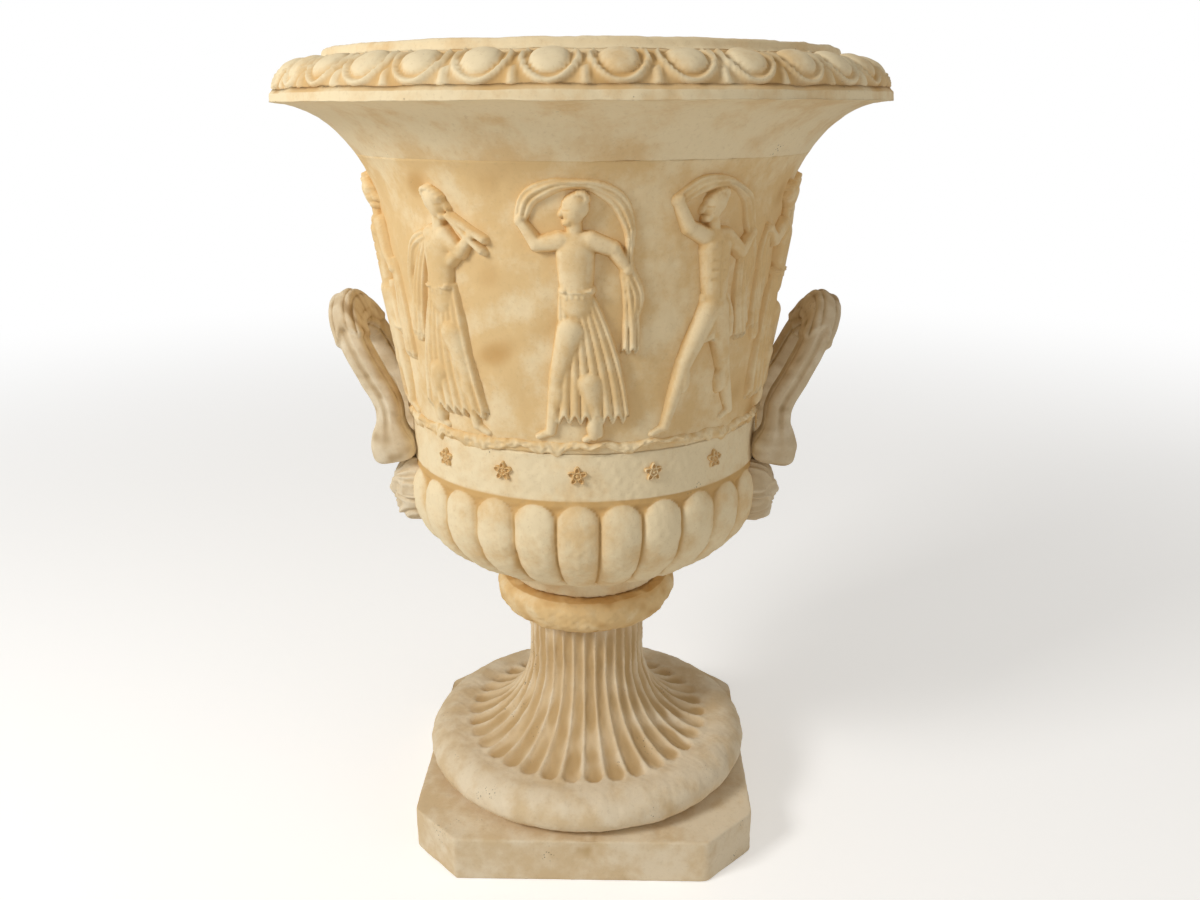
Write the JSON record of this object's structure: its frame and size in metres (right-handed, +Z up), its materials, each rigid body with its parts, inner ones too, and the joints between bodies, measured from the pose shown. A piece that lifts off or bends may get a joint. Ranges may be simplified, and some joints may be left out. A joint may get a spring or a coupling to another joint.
{
  "type": "campana vase",
  "caption": "Footed bell-shaped garden vase with a flared egg-and-dart rim, low looped handles, gadrooned bowl and dancing figures in relief.",
  "frame": {"origin": "middle of the plinth's underside", "axes": "+Z up along the vase's axis, front along -Y, handles at -X and +X"},
  "size_m": [0.61, 0.61, 0.85],
  "materials": {
    "cream_clay": "matt, chalky bloom",
    "honey_clay": "matt fired clay",
    "foot_clay": "matt, whitewashed",
    "handle_clay": "matt, weathered"
  },
  "bodies": {
    "root": {"plinth": "foot_clay", "foot": "foot_clay", "collar": "honey_clay", "bowl": "cream_clay", "ground_ledge": "honey_clay", "bell": "honey_clay", "rim": "cream_clay", "handle_left": "handle_clay", "handle_right": "handle_clay", "head_left_front": "handle_clay", "head_left_back": "handle_clay", "head_right_front": "handle_clay", "head_right_back": "handle_clay", "rosette_01": "honey_clay", "rosette_02": "honey_clay", "rosette_03": "honey_clay", "rosette_04": "honey_clay", "rosette_05": "honey_clay", "rosette_06": "honey_clay", "rosette_07": "honey_clay", "rosette_08": "honey_clay", "rosette_09": "honey_clay", "rosette_10": "honey_clay", "rosette_11": "honey_clay", "rosette_12": "honey_clay", "figure_01": "honey_clay", "figure_02": "honey_clay", "figure_03": "honey_clay", "figure_04": "honey_clay", "figure_05": "honey_clay", "figure_06": "honey_clay", "figure_07": "honey_clay", "figure_08": "honey_clay", "figure_09": "honey_clay", "figure_10": "honey_clay"}
  },
  "joints": []
}
